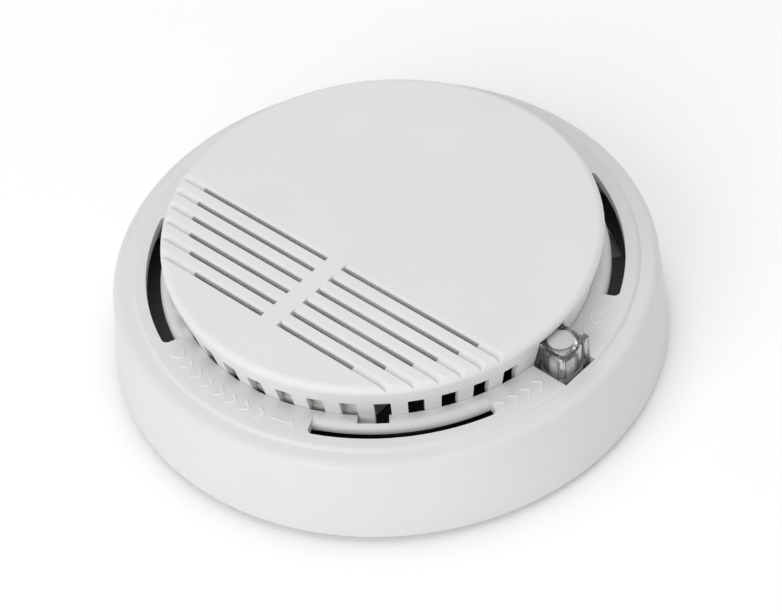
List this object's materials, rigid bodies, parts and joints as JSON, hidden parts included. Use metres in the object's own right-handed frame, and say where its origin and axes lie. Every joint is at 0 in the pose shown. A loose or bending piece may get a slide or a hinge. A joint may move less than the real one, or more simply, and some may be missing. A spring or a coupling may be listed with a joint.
{
  "type": "smoke detector",
  "caption": "Round ceiling smoke detector: skirted cover, slotted drum with castellated inlet, clear test button, twist-lock bracket and rear battery well.",
  "frame": {"origin": "centre of the mounting bracket's back face, on the detector's axis", "axes": "+Z away from the ceiling into the room, +Y over the battery well, the test button at 46.5 degrees below +X"},
  "size_m": [0.107, 0.107, 0.0274],
  "materials": {
    "bracket_white": "satin moulded",
    "cover_white": "satin moulded",
    "cap_white": "satin moulded",
    "shell_dark_grey": "satin moulded",
    "screw_steel": "zinc plated",
    "screw_black": "black oxide",
    "board_black": "black solder mask",
    "horn_white": "satin moulded",
    "piezo_brass": "rolled",
    "piezo_ceramic": "matt",
    "gasket_rubber": "matt",
    "contact_nickel": "nickel plated",
    "chamber_black": "matt black",
    "mesh_steel": "woven",
    "infrared_clear": "tinted clear",
    "photodiode_dark": "dark filter",
    "chip_black": "matt",
    "capacitor_tan": "satin",
    "can_blue": "sleeved",
    "choke_black": "matt",
    "spacer_white": "natural nylon",
    "lamp_clear": "frosted",
    "button_clear": "clear polished",
    "battery_steel": "printed steel jacket",
    "battery_top_black": "matt",
    "lead_red": "PVC",
    "lead_black": "PVC"
  },
  "bodies": {
    "bracket": {"mounting_bracket": "bracket_white"},
    "button": {"test_button": "button_clear"},
    "battery": {"battery_case": "battery_steel", "battery_top": "battery_top_black", "positive_terminal": "contact_nickel", "negative_terminal": "contact_nickel"},
    "housing": {"cover": "cover_white", "grille_cap": "cap_white", "back_shell": "shell_dark_grey", "cover_screws": "screw_steel", "board_screws": "screw_black", "circuit_board": "board_black", "horn_housing": "horn_white", "piezo_disc": "piezo_brass", "piezo_ceramic": "piezo_ceramic", "horn_gasket": "gasket_rubber", "horn_contacts": "contact_nickel", "chamber_base": "chamber_black", "labyrinth_vanes": "chamber_black", "chamber_lid": "chamber_black", "insect_mesh": "mesh_steel", "infrared_led": "infrared_clear", "photodiode": "photodiode_dark", "detector_ic": "chip_black", "ic_legs": "contact_nickel", "chip_resistors": "chip_black", "chip_capacitors": "capacitor_tan", "electrolytic_capacitor": "can_blue", "horn_transistor": "chip_black", "horn_choke": "choke_black", "led_spacer": "spacer_white", "status_led": "lamp_clear", "test_contact": "contact_nickel", "test_pin": "contact_nickel", "positive_contact": "contact_nickel", "negative_contact": "contact_nickel", "positive_lead": "lead_red", "negative_lead": "lead_black"}
  },
  "joints": [
    {"name": "housing_twist", "type": "hinge", "parent": "bracket", "child": "housing", "pos_m": [0, 0, 0], "axis": [0, 0, 1], "range_deg": [0, 15]},
    {"name": "test_button_press", "type": "slide", "parent": "housing", "child": "button", "axis": [0, 0, -1], "range_m": [0, 0.0012], "stiffness_N_per_m": 500, "springref_m": -0.001, "deforming": ["test_contact"]},
    {"name": "battery_slide", "type": "slide", "parent": "housing", "child": "battery", "axis": [0, 0, -1], "range_m": [0, 0.022]}
  ]
}
